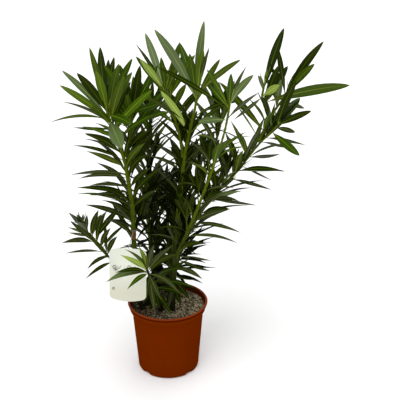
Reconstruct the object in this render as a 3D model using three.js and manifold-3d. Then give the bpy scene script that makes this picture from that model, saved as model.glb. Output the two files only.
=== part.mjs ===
import * as THREE from "three";
import { mergeVertices } from "three/addons/utils/BufferGeometryUtils.js";
import Module from "manifold-3d";

// A young oleander shrub in a round nursery pot.
// Millimetres, +Z up. The pot stands on Z = 0 with its axis on Z, and its front faces -Y.

const wasm = await Module();
wasm.setup();

// Pot and compost
const potHeight = 175;
const rimRadius = 95;
const lipRadius = 3;
const neckRadius = 84.5;
const neckHeight = 146;
const collarFlare = 3.5;
const collarRise = 10;
const collarStep = 1.5;
const collarRound = 1;
const potFootRadius = 66;
const potFootEdge = 7;
const potWall = 2.8;
const compostHeight = 163;
const compostClearance = 1;
const potSides = 24;

// The space kept between pieces that touch
const gap = 0.3;

// Stems and boughs
const limbSides = 6;
const limbStep = 52;
const fewestSteps = 3;
const rootFlare = 3;
const rootFlareHeight = 14;

// Masses of leaves
const coreSides = 5;
const coreSteps = 2;
const coreRadius = 24;
// Radius of a core's two ends, as a share of its middle
const coreEnds = 0.45;
const coreBelow = 12;
const coreAbove = 16;
const leavesInWhorl = 3;
const sprayWidth = 28;
const leaderWidth = 22;
const sprayThickness = 9;
// Half width, as a share of the widest, at each share of the length
const sprayOutline = [[0, 0], [1, 0.4], [0, 1]];

// Care label
const labelWidth = 84;
const labelHeight = 124;
const labelShoulder = 10;
const labelNeckShare = 0.58;
const labelCorner = 12;
const labelThickness = 1.2;
const labelTop = new THREE.Vector3(-84, -70, 344);
const labelLean = THREE.MathUtils.degToRad(8);
const labelTurn = THREE.MathUtils.degToRad(-6);
const strapThickness = 1.6;
const strapHeight = 364;
const strapSag = 1;
const strapSagShare = 0.6;
const strapHole = new THREE.Vector3(0, 2, 3);

const group = new THREE.Group();

const finishes = {
  terracotta_plastic: { color: 0x9c4020, roughness: 0.55, metalness: 0 },
  compost: { color: 0x5e5040, roughness: 1, metalness: 0 },
  bark: { color: 0x5a6420, roughness: 0.75, metalness: 0 },
  leaf: { color: 0x3c5a14, roughness: 0.5, metalness: 0 },
  label: { color: 0xeef0e4, roughness: 0.45, metalness: 0 },
  strap: { color: 0xb0b2aa, roughness: 0.5, metalness: 0 },
};

// ---- Solids: closed meshes joined and cut

function solidFrom(geometry) {
  const plain = geometry.clone();
  plain.deleteAttribute("normal");
  plain.deleteAttribute("uv");
  const merged = mergeVertices(plain, 1e-3);
  const mesh = new wasm.Mesh({
    numProp: 3,
    vertProperties: merged.attributes.position.array,
    triVerts: new Uint32Array(merged.index.array),
  });
  return new wasm.Manifold(mesh);
}

function geometryFrom(solid) {
  const mesh = solid.getMesh();
  const geometry = new THREE.BufferGeometry();
  geometry.setAttribute("position", new THREE.BufferAttribute(mesh.vertProperties, 3));
  geometry.setIndex(new THREE.BufferAttribute(mesh.triVerts, 1));
  return geometry;
}

function largestBody(solid) {
  const bodies = solid.decompose();
  return bodies.reduce((best, body) => (body.volume() > best.volume() ? body : best));
}

function addPiece(name, geometry, finish) {
  const mesh = new THREE.Mesh(geometry, new THREE.MeshStandardMaterial(finishes[finish]));
  mesh.name = name;
  group.add(mesh);
}

// Space already filled by earlier pieces, each swollen by the gap
let filled = null;

// Adds a piece cut back from everything before it, then fills its space.
function addFitted(name, finish, shapeAt) {
  const own = shapeAt(0);
  const cut = filled ? largestBody(own.subtract(filled)) : own;
  addPiece(name, geometryFrom(cut), finish);
  const swollen = shapeAt(gap);
  filled = filled ? filled.add(swollen) : swollen;
}

// ---- Pot: one moulded wall, lathed, with a rolled lip and a step under the collar

function arc(centreX, centreY, radius, fromDegrees, toDegrees, steps) {
  const points = [];
  for (let i = 0; i <= steps; i++) {
    const angle = THREE.MathUtils.degToRad(fromDegrees + ((toDegrees - fromDegrees) * i) / steps);
    points.push(new THREE.Vector2(centreX + radius * Math.cos(angle), centreY + radius * Math.sin(angle)));
  }
  return points;
}

// LatheGeometry turns its profile about Y, so the result is laid over to stand on +Z.
function turned(profile) {
  return new THREE.LatheGeometry(profile, potSides).rotateX(Math.PI / 2);
}

function potGeometry() {
  const lipCentre = rimRadius - lipRadius;
  const wallFoot = potFootRadius + potFootEdge;
  const outside = [
    new THREE.Vector2(0, 0),
    ...arc(potFootRadius, potFootEdge, potFootEdge, -90, 0, 2),
    new THREE.Vector2(neckRadius, neckHeight),
    new THREE.Vector2(neckRadius + collarFlare, neckHeight + collarRise),
    new THREE.Vector2(neckRadius + collarFlare + collarStep, neckHeight + collarRise + collarRound),
  ];
  const lip = arc(lipCentre, potHeight - lipRadius, lipRadius, 0, 180, 3);
  const inside = [
    new THREE.Vector2(neckRadius - potWall, neckHeight),
    new THREE.Vector2(wallFoot - potWall, potFootEdge),
    new THREE.Vector2(potFootRadius, potWall),
    new THREE.Vector2(0, potWall),
  ];
  return turned([...outside, ...lip, ...inside]);
}

function compostGeometry() {
  const wallFoot = potFootRadius + potFootEdge;
  const profile = [
    new THREE.Vector2(0, potWall + gap),
    new THREE.Vector2(potFootRadius - compostClearance, potWall + gap),
    new THREE.Vector2(wallFoot - potWall - compostClearance, potFootEdge + compostClearance),
    new THREE.Vector2(neckRadius - potWall - compostClearance, neckHeight),
    new THREE.Vector2(neckRadius, compostHeight),
    new THREE.Vector2(0, compostHeight),
  ];
  return turned(profile);
}

// ---- Limbs: tapering, leaning, cut level at the foot

// A limb is a smooth curve that always climbs, so a height names one place on it.
class Limb {
  constructor(route, footRadius, tipRadius) {
    this.curve = new THREE.CatmullRomCurve3(route.map((place) => new THREE.Vector3(...place)));
    this.foot = route[0][2];
    this.tip = route[route.length - 1][2];
    this.footRadius = footRadius;
    this.tipRadius = tipRadius;
  }

  placeAt(height) {
    if (height >= this.tip) {
      const onward = this.curve.getTangent(1);
      return this.curve.getPoint(1).addScaledVector(onward, (height - this.tip) / onward.z);
    }
    let low = 0;
    let high = 1;
    while (high - low > 1e-6) {
      const middle = (low + high) / 2;
      if (this.curve.getPoint(middle).z < height) low = middle;
      else high = middle;
    }
    return this.curve.getPoint(low);
  }

  radiusAt(height) {
    const along = (height - this.foot) / (this.tip - this.foot);
    const taper = THREE.MathUtils.lerp(this.footRadius, this.tipRadius, along);
    const rooted = this.foot <= soil;
    const flare = rooted ? rootFlare * Math.exp(-(height - this.foot) / rootFlareHeight) : 0;
    return taper + flare;
  }
}

// A column of level rings that follows a limb between two heights.
function columnAlong(limb, low, high, radiusAt, sides, steps) {
  const column = new THREE.CylinderGeometry(1, 1, 1, sides, steps);
  column.rotateX(Math.PI / 2);
  column.translate(0, 0, 0.5);
  const position = column.attributes.position;
  for (let i = 0; i < position.count; i++) {
    const along = position.getZ(i);
    const height = THREE.MathUtils.lerp(low, high, along);
    const centre = limb.placeAt(height);
    const radius = radiusAt(height, along);
    const x = centre.x + radius * position.getX(i);
    const y = centre.y + radius * position.getY(i);
    position.setXYZ(i, x, y, height);
  }
  return solidFrom(column);
}

function limbSolid(limb, grow) {
  const radiusAt = (height) => limb.radiusAt(height) + grow;
  const steps = Math.max(fewestSteps, Math.round((limb.tip - limb.foot) / limbStep));
  return columnAlong(limb, limb.foot - grow, limb.tip + grow, radiusAt, limbSides, steps);
}

const soil = compostHeight + gap;
const limbs = {
  left_stem: new Limb(
    [[-45, 0, soil], [-64, -8, 245], [-75, -14, 325], [-75, -14, 406], [-79, -12, 446], [-88, -6, 516]],
    6.5, 4.2),
  left_front_bough: new Limb(
    [[-88, -6, 516.5], [-95, -16, 553], [-111, -30, 605], [-121, -39, 650]],
    4.2, 2.4),
  left_back_bough: new Limb([[-86, -3, 516.5], [-82, 4, 553], [-78, 14, 584], [-71, 24, 637]], 3.6, 2.2),
  middle_stem: new Limb(
    [[5, 10, soil], [21, 14, 351], [34, 18, 449], [39, 18, 510], [55, 20, 592], [72, 20, 672], [75, 20, 697]],
    6.5, 2.2),
  middle_side_bough: new Limb([[38, 19, 530], [28, 30, 593], [10, 38, 642], [-1, 42, 677]], 3.6, 2),
  front_stem: new Limb(
    [[11, -24, soil], [26, -40, 312], [57, -56, 395], [101, -66, 522], [118, -62, 573], [136, -54, 642],
      [140, -50, 671]],
    6, 2.2),
  right_stem: new Limb(
    [[6, 32, soil], [20, 36, 252], [39, 36, 307], [63, 34, 362], [109, 32, 429], [168, 34, 497],
      [225, 30, 577], [248, 26, 600]],
    7, 3),
  right_top_bough: new Limb([[210, 32, 562], [232, 44, 608], [257, 52, 647], [273, 56, 667]], 3.6, 2.2),
  right_inner_bough: new Limb([[231, 44, 610], [221, 36, 640], [214, 30, 665], [217, 28, 690]], 2.8, 1.8),
  low_left_shoot: new Limb(
    [[-58, -22, soil], [-96, -45, 259], [-125, -56, 310], [-154, -64, 349], [-182, -70, 400]],
    4.5, 2.2),
  low_front_shoot: new Limb([[-14, -26, soil], [-26, -60, 233], [-35, -86, 280], [-40, -98, 302]], 4, 2.4),
  back_left_stem: new Limb(
    [[-28, 36, soil], [-44, 78, 300], [-48, 108, 400], [-46, 124, 510], [-38, 132, 600]],
    6, 2.4),
  back_right_stem: new Limb(
    [[-2, 60, soil], [10, 86, 268], [30, 110, 350], [72, 126, 435], [110, 138, 510], [130, 148, 590]],
    6, 2.4),
  back_low_shoot: new Limb([[-28, 66, soil], [-30, 112, 240], [-26, 152, 310], [-12, 180, 370]], 4.5, 2.2),
};

// ---- Label: a card on a strap round the left stem

function labelShape(grow) {
  const half = labelWidth / 2 + grow;
  const neck = half * labelNeckShare;
  const inset = half - labelCorner;
  const shape = new THREE.Shape();
  shape.moveTo(-inset, -labelHeight - grow);
  shape.lineTo(inset, -labelHeight - grow);
  shape.quadraticCurveTo(half, -labelHeight - grow, half, -labelHeight + labelCorner);
  shape.lineTo(half, -labelShoulder + grow);
  shape.lineTo(neck, grow);
  shape.lineTo(-neck, grow);
  shape.lineTo(-half, -labelShoulder + grow);
  shape.lineTo(-half, -labelHeight + labelCorner);
  shape.quadraticCurveTo(-half, -labelHeight - grow, -inset, -labelHeight - grow);
  return shape;
}

function labelSolid(grow) {
  const depth = labelThickness + 2 * grow;
  const card = new THREE.ExtrudeGeometry(labelShape(grow), { depth, bevelEnabled: false, curveSegments: 4 });
  card.translate(0, 0, -depth / 2);
  card.rotateX(Math.PI / 2 - labelLean);
  card.rotateZ(labelTurn);
  card.translate(labelTop.x, labelTop.y, labelTop.z);
  return solidFrom(card);
}

function strapSolid(grow) {
  const stem = limbs.left_stem.placeAt(strapHeight);
  const ring = limbs.left_stem.radiusAt(strapHeight) + gap + strapThickness;
  const band = strapThickness / 2 + grow;
  const hoop = new THREE.TorusGeometry(ring, band, 4, 8);
  hoop.translate(stem.x, stem.y, stem.z);
  const from = new THREE.Vector3(stem.x, stem.y - ring, stem.z);
  const to = labelTop.clone().add(strapHole);
  const low = from.clone().lerp(to, strapSagShare).add(new THREE.Vector3(0, 0, -strapSag));
  const route = new THREE.CatmullRomCurve3([from, low, to]);
  const section = new THREE.Shape(arc(0, 0, band, 0, 270, 3));
  const tail = new THREE.ExtrudeGeometry(section, { steps: 4, bevelEnabled: false, extrudePath: route });
  return solidFrom(hoop).add(solidFrom(tail));
}

// ---- Masses of leaves

// A flat pointed blade that stands for a few leaves lying together.
function spraySolid(from, { compass, rise, reach, width }, grow) {
  const profile = sprayOutline.map(([half, along]) => new THREE.Vector2(half, along));
  const blade = new THREE.LatheGeometry(profile, 4);
  blade.scale(width / 2 + grow, reach + 2 * grow, sprayThickness / 2 + grow);
  blade.rotateX(THREE.MathUtils.degToRad(rise));
  blade.rotateZ(THREE.MathUtils.degToRad(compass - 90));
  blade.translate(from.x, from.y, from.z);
  return solidFrom(blade);
}

// Whorls of three sprays, each whorl turned half a step from the one below, as on the shoot.
function whorledSprays({ low, high, whorls, turn, rise, reach }) {
  const sprays = [];
  for (let i = 0; i < whorls; i++) {
    const up = whorls > 1 ? i / (whorls - 1) : 0.5;
    for (let k = 0; k < leavesInWhorl; k++) {
      sprays.push({
        height: THREE.MathUtils.lerp(low, high, up),
        compass: turn + (i / 2 + k) * (360 / leavesInWhorl),
        rise: THREE.MathUtils.lerp(rise[0], rise[1], up),
        reach: THREE.MathUtils.lerp(reach[0], reach[1], up),
        width: sprayWidth,
      });
    }
  }
  return sprays;
}

// A mass is a spindle round its limb, with sprays running out of it.
// Its leaders are the single leaves that stand out furthest: height, compass, rise and reach.
function massSolid(mass, grow) {
  const limb = limbs[mass.on];
  const swell = (along) => coreEnds + (1 - coreEnds) * Math.sin(Math.PI * along);
  const spindle = (height, along) => coreRadius * swell(along) + grow;
  const low = mass.low - coreBelow - grow;
  const high = mass.high + coreAbove + grow;
  const core = columnAlong(limb, low, high, spindle, coreSides, coreSteps);
  const leaders = (mass.leaders ?? []).map(([height, compass, rise, reach]) => (
    { height, compass, rise, reach, width: leaderWidth }));
  const sprays = [...whorledSprays(mass), ...leaders];
  return sprays.reduce(
    (solid, spray) => solid.add(spraySolid(limb.placeAt(spray.height), spray, grow)), core);
}

// Compass is in degrees from +X towards +Y, and rise in degrees above level.
const masses = {
  left_front_tuft: {
    on: "left_front_bough", low: 600, high: 645, whorls: 2, turn: 20, rise: [20, 50], reach: [110, 110],
    leaders: [
      [640, 200, 45, 140], [636, 222, 38, 150], [622, 215, 8, 140], [645, 236, 70, 158], [633, 282, -8, 140]],
  },
  left_back_tuft: {
    on: "left_back_bough", low: 575, high: 630, whorls: 2, turn: 30, rise: [15, 45], reach: [90, 110],
    leaders: [[610, 86, 45, 150], [615, 268, 55, 130], [604, 314, 25, 115]],
  },
  middle_tuft: {
    on: "middle_stem", low: 655, high: 690, whorls: 2, turn: 45, rise: [30, 65], reach: [95, 90],
    leaders: [[663, 193, 61, 182], [673, 282, 75, 170], [669, 331, 42, 138], [666, 111, 44, 140]],
  },
  middle_side_tuft: {
    on: "middle_side_bough", low: 620, high: 675, whorls: 2, turn: 60, rise: [25, 50], reach: [90, 100],
    leaders: [[677, 130, 38, 145], [677, 116, 46, 140], [677, 225, 49, 105], [677, 259, 58, 120]],
  },
  front_tuft: {
    on: "front_stem", low: 625, high: 665, whorls: 2, turn: 30, rise: [20, 50], reach: [75, 80],
    leaders: [[649, 311, 55, 118], [649, 173, 34, 150], [662, 119, 25, 100]],
  },
  right_top_tuft: {
    on: "right_top_bough", low: 640, high: 665, whorls: 1, turn: 110, rise: [20, 20], reach: [70, 70],
    leaders: [[666, 45, 36, 150], [665, 299, 42, 118], [655, 342, 17, 146], [650, 50, -15, 85]],
  },
  right_inner_tuft: {
    on: "right_inner_bough", low: 645, high: 680, whorls: 1, turn: 80, rise: [25, 25], reach: [60, 60],
    leaders: [[684, 63, 46, 155], [670, 45, 24, 110], [660, 289, 29, 75]],
  },
  right_node_tuft: {
    on: "right_stem", low: 575, high: 598, whorls: 1, turn: 70, rise: [10, 10], reach: [75, 75],
    leaders: [[600, 309, 29, 108], [600, 50, 25, 95], [583, 302, -15, 108], [593, 190, 41, 158]],
  },
  low_left_tuft: {
    on: "low_left_shoot", low: 350, high: 390, whorls: 2, turn: 35, rise: [10, 40], reach: [60, 70],
    leaders: [[384, 250, 42, 98], [354, 238, 22, 115], [365, 129, -12, 102]],
  },
  low_front_tuft: {
    on: "low_front_shoot", low: 285, high: 300, whorls: 1, turn: 90, rise: [5, 5], reach: [70, 70],
    leaders: [[299, 219, 5, 118], [302, 216, 48, 85], [291, 279, -20, 115], [296, 34, -40, 95]],
  },
  back_left_tuft: {
    on: "back_left_stem", low: 545, high: 598, whorls: 2, turn: 30, rise: [20, 50], reach: [105, 115],
  },
  back_right_tuft: {
    on: "back_right_stem", low: 535, high: 588, whorls: 2, turn: 75, rise: [20, 55], reach: [100, 100],
  },
  back_low_tuft: {
    on: "back_low_shoot", low: 300, high: 368, whorls: 2, turn: 15, rise: [0, 40], reach: [85, 95],
  },
  left_fork_leaves: {
    on: "left_front_bough", low: 535, high: 575, whorls: 1, turn: 20, rise: [15, 15], reach: [85, 85],
    leaders: [[546, 220, 30, 115], [540, 144, 11, 115]],
  },
  left_upper_leaves: {
    on: "left_stem", low: 445, high: 500, whorls: 2, turn: 5, rise: [5, 12], reach: [105, 100],
    leaders: [[487, 217, 15, 145], [460, 153, 2, 138], [440, 218, 24, 148], [445, 314, 42, 120]],
  },
  left_lower_leaves: {
    on: "left_stem", low: 345, high: 415, whorls: 2, turn: 40, rise: [0, 15], reach: [90, 100],
    leaders: [[378, 207, 33, 132], [371, 323, 33, 115]],
  },
  low_left_leaves: {
    on: "low_left_shoot", low: 275, high: 322, whorls: 1, turn: 70, rise: [-8, -8], reach: [65, 65],
    leaders: [[320, 150, -12, 112], [290, 149, -32, 105], [308, 242, 12, 88]],
  },
  middle_upper_leaves: {
    on: "middle_stem", low: 555, high: 620, whorls: 2, turn: 10, rise: [15, 30], reach: [95, 100],
    leaders: [[593, 225, 50, 110]],
  },
  front_upper_leaves: {
    on: "front_stem", low: 490, high: 590, whorls: 2, turn: 35, rise: [10, 30], reach: [85, 90],
  },
  right_upper_leaves: {
    on: "right_stem", low: 470, high: 548, whorls: 2, turn: 60, rise: [-10, 0], reach: [80, 80],
    leaders: [[550, 34, -13, 135], [491, 325, 11, 120], [509, 36, -36, 105]],
  },
  right_lower_leaves: {
    on: "right_stem", low: 350, high: 440, whorls: 2, turn: 75, rise: [-10, 0], reach: [90, 85],
    leaders: [[473, 24, -24, 122], [400, 314, 36, 118], [402, 28, -10, 125]],
  },
  front_centre_leaves: {
    on: "front_stem", low: 365, high: 450, whorls: 2, turn: 60, rise: [-5, 10], reach: [90, 90],
    leaders: [[393, 324, 7, 128]],
  },
  front_lower_leaves: {
    on: "front_stem", low: 265, high: 335, whorls: 2, turn: 85, rise: [-20, -10], reach: [80, 90],
    leaders: [[335, 28, -12, 128], [321, 307, 30, 100], [298, 42, -31, 110]],
  },
  middle_centre_leaves: {
    on: "middle_stem", low: 430, high: 520, whorls: 2, turn: 25, rise: [0, 20], reach: [95, 100],
  },
  middle_lower_leaves: {
    on: "middle_stem", low: 290, high: 390, whorls: 2, turn: 0, rise: [-10, 5], reach: [85, 95],
  },
  back_left_leaves: {
    on: "back_left_stem", low: 360, high: 490, whorls: 2, turn: 0, rise: [-5, 15], reach: [95, 105],
  },
  back_right_leaves: {
    on: "back_right_stem", low: 350, high: 470, whorls: 2, turn: 30, rise: [-5, 15], reach: [95, 105],
  },
};

// ---- The whole plant, put together from the pot up

addPiece("pot", potGeometry(), "terracotta_plastic");
addPiece("compost", compostGeometry(), "compost");
for (const [name, limb] of Object.entries(limbs)) {
  addFitted(name, "bark", (grow) => limbSolid(limb, grow));
}
addFitted("label_strap", "strap", strapSolid);
addFitted("care_label", "label", labelSolid);
for (const [name, mass] of Object.entries(masses)) {
  addFitted(name, "leaf", (grow) => massSolid(mass, grow));
}

export default group;
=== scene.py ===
import random
from math import atan2, copysign, cos, degrees, exp, hypot, pi, radians, sin, sqrt, tan, tau

import bpy
from mathutils import Matrix, Vector, noise


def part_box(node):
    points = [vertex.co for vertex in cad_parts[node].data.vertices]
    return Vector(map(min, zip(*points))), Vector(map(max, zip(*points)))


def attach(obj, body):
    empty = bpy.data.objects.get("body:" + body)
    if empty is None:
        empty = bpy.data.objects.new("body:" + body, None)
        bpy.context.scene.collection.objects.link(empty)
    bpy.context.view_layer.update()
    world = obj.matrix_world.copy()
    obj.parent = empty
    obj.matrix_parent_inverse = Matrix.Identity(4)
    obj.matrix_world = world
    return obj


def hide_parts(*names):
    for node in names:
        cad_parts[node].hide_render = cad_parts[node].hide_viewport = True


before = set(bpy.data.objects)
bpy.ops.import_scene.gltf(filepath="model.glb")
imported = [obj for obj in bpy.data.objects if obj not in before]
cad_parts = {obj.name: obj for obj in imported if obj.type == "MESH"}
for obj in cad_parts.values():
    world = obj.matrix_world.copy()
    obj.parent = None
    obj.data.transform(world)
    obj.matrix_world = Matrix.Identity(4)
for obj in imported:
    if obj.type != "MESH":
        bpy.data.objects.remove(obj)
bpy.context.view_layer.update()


# ---- Camera ----
# A standing viewer's place in front of the pot, a little to the right of its middle.
# A long lens looks down on the rim and takes in the whole shrub.

scene = bpy.context.scene
look_down = radians(22.3)
camera_lens = bpy.data.cameras.new("camera")
camera_lens.sensor_width = 36.0
camera_lens.lens = 77.04
camera = bpy.data.objects.new("camera", camera_lens)
camera.location = (0.077, -1.8, 1.17)
camera.rotation_euler = (radians(90) - look_down, 0, 0)
scene.collection.objects.link(camera)
scene.camera = camera


# ---- Studio ----
# A wide matt white floor that runs out of sight on every side, under a white room.
# A broad soft light comes down from the front left, as from a skylight.


class Wire:
    """One socket in a material, so that shader maths reads as plain arithmetic."""

    def __init__(self, tree, socket=None):
        self.tree = tree
        self.socket = socket

    def node(self, kind, settings=None, sockets=None, out=0):
        made = self.tree.nodes.new(kind)
        for name, value in (settings or {}).items():
            if name == "stops":
                self.set_stops(made.color_ramp.elements, value)
            else:
                setattr(made, name, value)
        for name, value in (sockets or {}).items():
            if isinstance(value, Wire):
                self.tree.links.new(value.socket, made.inputs[name])
            else:
                made.inputs[name].default_value = value
        return Wire(self.tree, made.outputs[out])

    @staticmethod
    def set_stops(elements, stops):
        while len(elements) < len(stops):
            elements.new(0.5)
        for element, (place, colour) in zip(elements, stops):
            element.position = place
            element.color = colour

    def maths(self, operation, first, second):
        return self.node("ShaderNodeMath", {"operation": operation}, {0: first, 1: second})

    def __add__(self, other):
        return self.maths("ADD", self, other)

    def __radd__(self, other):
        return self.maths("ADD", other, self)

    def __sub__(self, other):
        return self.maths("SUBTRACT", self, other)

    def __rsub__(self, other):
        return self.maths("SUBTRACT", other, self)

    def __mul__(self, other):
        return self.maths("MULTIPLY", self, other)

    def __rmul__(self, other):
        return self.maths("MULTIPLY", other, self)

    def ramp(self, *stops):
        return self.node("ShaderNodeValToRGB", {"stops": stops}, {"Fac": self})

    def rises(self, start, end):
        """0 up to the start, 1 from the end on, and even in between."""
        return self.ramp((start, (0, 0, 0, 1)), (end, (1, 1, 1, 1)))

    def between(self, low, high):
        settings = {"data_type": "RGBA", "clamp_factor": True}
        return self.node("ShaderNodeMix", settings, {0: self, 6: low, 7: high}, out=2)

    def place(self, scale=(1, 1, 1)):
        here = self.node("ShaderNodeTexCoord", out=3)
        return self.node("ShaderNodeMapping", None, {"Vector": here, "Scale": scale})

    def along(self, axis):
        """Metres along X, Y or Z, for an axis of 0, 1 or 2."""
        return self.node("ShaderNodeSeparateXYZ", None, {0: self.place()}, out=axis)

    def clouds(self, scale, detail=3.0, stretch=(1, 1, 1)):
        sockets = {"Vector": self.place(stretch), "Scale": scale, "Detail": detail}
        return self.node("ShaderNodeTexNoise", None, sockets)

    def bump(self, strength, distance):
        sockets = {"Height": self, "Strength": strength, "Distance": distance}
        return self.node("ShaderNodeBump", None, sockets)

    def feed(self, socket_name):
        shader = self.tree.nodes["Principled BSDF"]
        self.tree.links.new(self.socket, shader.inputs[socket_name])


def srgb(red, green, blue):
    """A colour given on the 0 to 255 scale, as the linear colour that a shader takes."""
    def linear(level):
        share = level / 255
        return share / 12.92 if share <= 0.04045 else ((share + 0.055) / 1.055) ** 2.4
    return (linear(red), linear(green), linear(blue), 1.0)


def new_finish(name, colour, roughness, **plain):
    """A material whose shader holds these plain values, and the wire that adds nodes to it."""
    made = bpy.data.materials.new(name)
    made.use_nodes = True
    shader = made.node_tree.nodes["Principled BSDF"]
    shader.inputs["Base Color"].default_value = colour
    shader.inputs["Roughness"].default_value = roughness
    for socket_name, value in plain.items():
        shader.inputs[socket_name.replace("_", " ")].default_value = value
    return made, Wire(made.node_tree)


def make_mesh(name, points, faces, finishes, picks=None, crease=40):
    """A smooth mesh object, sharp only where two faces meet at more than the crease angle."""
    mesh = bpy.data.meshes.new(name)
    mesh.from_pydata(points, [], faces)
    for finish in finishes:
        mesh.materials.append(finish)
    if picks:
        mesh.polygons.foreach_set("material_index", picks)
    mesh.polygons.foreach_set("use_smooth", [True] * len(faces))
    mesh.set_sharp_from_angle(angle=radians(crease))
    made = bpy.data.objects.new(name, mesh)
    scene.collection.objects.link(made)
    return made


floor_reach = 60.0
floor_paint, floor_wire = new_finish("matt_white_floor", srgb(252, 252, 252), 0.9)
(floor_wire.clouds(6.0) * 0.1 + 0.85).feed("Roughness")
floor_corners = [(x * floor_reach, y * floor_reach, 0) for x, y in ((-1, -1), (1, -1), (1, 1), (-1, 1))]
make_mesh("floor", floor_corners, [(0, 1, 2, 3)], [floor_paint])

room_strength = 0.6
room = bpy.data.worlds.new("white_room")
room.use_nodes = True
room.node_tree.nodes["Background"].inputs["Color"].default_value = (1, 1, 1, 1)
room.node_tree.nodes["Background"].inputs["Strength"].default_value = room_strength
scene.world = room
scene.view_settings.view_transform = "Standard"


def hang_light(name, place, strength, spread):
    """A broad light from far off; its spread in degrees softens the shadows."""
    light = bpy.data.lights.new(name, "SUN")
    light.energy = strength
    light.angle = radians(spread)
    lamp = bpy.data.objects.new(name, light)
    lamp.rotation_euler = (-Vector(place)).to_track_quat("-Z", "Y").to_euler()
    scene.collection.objects.link(lamp)


hang_light("skylight", (-0.35, -0.8, 1.5), 1.9, 60)
hang_light("window_behind", (0.5, 1.0, 1.2), 0.6, 60)


# ---- Pot ----
# A nursery pot blow-moulded in terracotta-coloured plastic, about 3 mm thick.
# A rolled lip crowns a flared collar, with a moulded step under it and a rounded foot.


def arc(centre_r, centre_z, radius, start, end, steps):
    """Points of a round corner, from one angle in degrees to another."""
    turns = [radians(start + (end - start) * i / steps) for i in range(steps + 1)]
    return [(centre_r + radius * cos(t), centre_z + radius * sin(t)) for t in turns]


def level_ring(radius, height, sides):
    """Points in a level ring about the pot's axis."""
    turns = [tau * k / sides for k in range(sides)]
    return [(radius * cos(t), radius * sin(t), height) for t in turns]


def turn_profile(profile, sides):
    """Points and faces of a body turned about the pot's axis; a radius of 0 closes it."""
    points = []
    rings = []
    for radius, height in profile:
        start = len(points)
        points += level_ring(radius, height, 1 if radius == 0 else sides)
        rings.append(range(start, len(points)))
    faces = []
    for low, high in zip(rings, rings[1:]):
        for k in range(sides):
            corners = [low[k % len(low)], low[(k + 1) % len(low)],
                       high[(k + 1) % len(high)], high[k % len(high)]]
            faces.append(tuple(dict.fromkeys(corners)))
    return points, faces


pot_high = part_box("pot")[1]
rim_radius = pot_high.x
rim_height = pot_high.z
foot_radius = 0.768 * rim_radius
neck_radius = 0.889 * rim_radius
neck_height = 0.834 * rim_height
wall = 0.0028
lip = 0.003
foot_round = 0.007
step_height = neck_height + 0.0105
step_radius = neck_radius + 0.0038
foot_hollow = 0.0015
notch_height = 0.010
notch_reach = 0.018
notch_rise = 0.0030
notch_spread = 8.0  # degrees
pot_sides = 160

pot_outside = [
    (0, foot_hollow),
    (foot_radius - 0.016, foot_hollow),
    (foot_radius - 0.014, 0),
    *arc(foot_radius - foot_round, foot_round, foot_round, -90, 0, 8),
    (neck_radius - 0.0003, neck_height - 0.003),
    *arc(neck_radius + 0.0017, neck_height, 0.0018, 180, 150, 3),
    (step_radius, step_height - 0.0012),
    *arc(step_radius + 0.0009, step_height, 0.0009, 250, 330, 3),
    (step_radius + 0.0021, step_height + 0.0016),
    (rim_radius - 0.0014, rim_height - 2 * lip - 0.0012),
    (rim_radius - 0.0022, rim_height - 2 * lip),
    (rim_radius - 0.0018, rim_height - 2 * lip + 0.0010),
]
pot_lip = arc(rim_radius - lip, rim_height - lip, lip, -10, 190, 12)
pot_inside = [
    (rim_radius - 2 * lip - 0.0003, rim_height - 2 * lip),
    (neck_radius - wall, neck_height),
    (foot_radius - wall, foot_round),
    (foot_radius - foot_round, wall),
    (0, wall),
]

terracotta, wire = new_finish("moulded_terracotta", srgb(112, 36, 6), 0.42, Specular_IOR_Level=0.0)
broad = wire.clouds(18.0, 2.0)
scuffs = wire.clouds(260.0, 4.0, (1, 1, 0.35))
height = wire.along(2)
dusty = height.rises(rim_height - 0.0200, rim_height - 0.0030)
plain_tone = broad.between(srgb(97, 32, 0), srgb(106, 37, 0))
collar_tone = dusty.between(plain_tone, srgb(110, 40, 2))
# Painted shade: a dark band just below the lip, where its shadow falls on the collar.
below_lip = 1 - height.rises(rim_height - 0.0055, rim_height - 0.0045)
painted_under_lip_shade = height.rises(rim_height - 0.0095, rim_height - 0.0070) * below_lip
# Painted highlight: a pale band along the top of the rolled lip.
painted_lip_highlight = height.rises(rim_height - 0.0025, rim_height - 0.0008)
painted_lip_highlight.between(painted_under_lip_shade.between(collar_tone, srgb(74, 15, 0)), srgb(150, 76, 46)).feed("Base Color")
(scuffs * 0.22 + 0.32).feed("Roughness")
(scuffs * 0.6 + broad * 0.4).bump(0.12, 0.0006).feed("Normal")

points, faces = turn_profile(pot_outside + pot_lip + pot_inside, pot_sides)
for i, (x, y, z) in enumerate(points):
    aside = abs(degrees(atan2(y, x)) % 90 - 45)
    if z < notch_height and hypot(x, y) > foot_radius - notch_reach:
        lift = notch_rise * max(0.0, 1 - (aside / notch_spread) ** 4)
        inward = 1 - 0.5 * lift / foot_radius
        points[i] = (x * inward, y * inward, z + lift * (1 - z / notch_height))
pot = make_mesh("nursery_pot", points, faces, [terracotta], crease=50)
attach(pot, "root")
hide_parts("pot")


# ---- Compost ----
# A peat and bark mix that fills the pot to 12 mm below the lip, pale and dry on the right and darker on the
# left, partly damp and partly painted shadow of the foliage.
# It settles against the wall, and crumbs and bark fibres lie loose on it.

dice = random.Random(19)
compost_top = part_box("compost")[1].z
compost_radius = neck_radius + 0.0012

# Broad swells, clods and grit: how close they lie, a slice of the noise, and their height in metres
compost_lumps = ((28, 0.3, 0.0045), (95, 4.1, 0.0040), (300, 9.7, 0.0022))
settled = 0.0015
sunk_at_wall = 0.002


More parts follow.
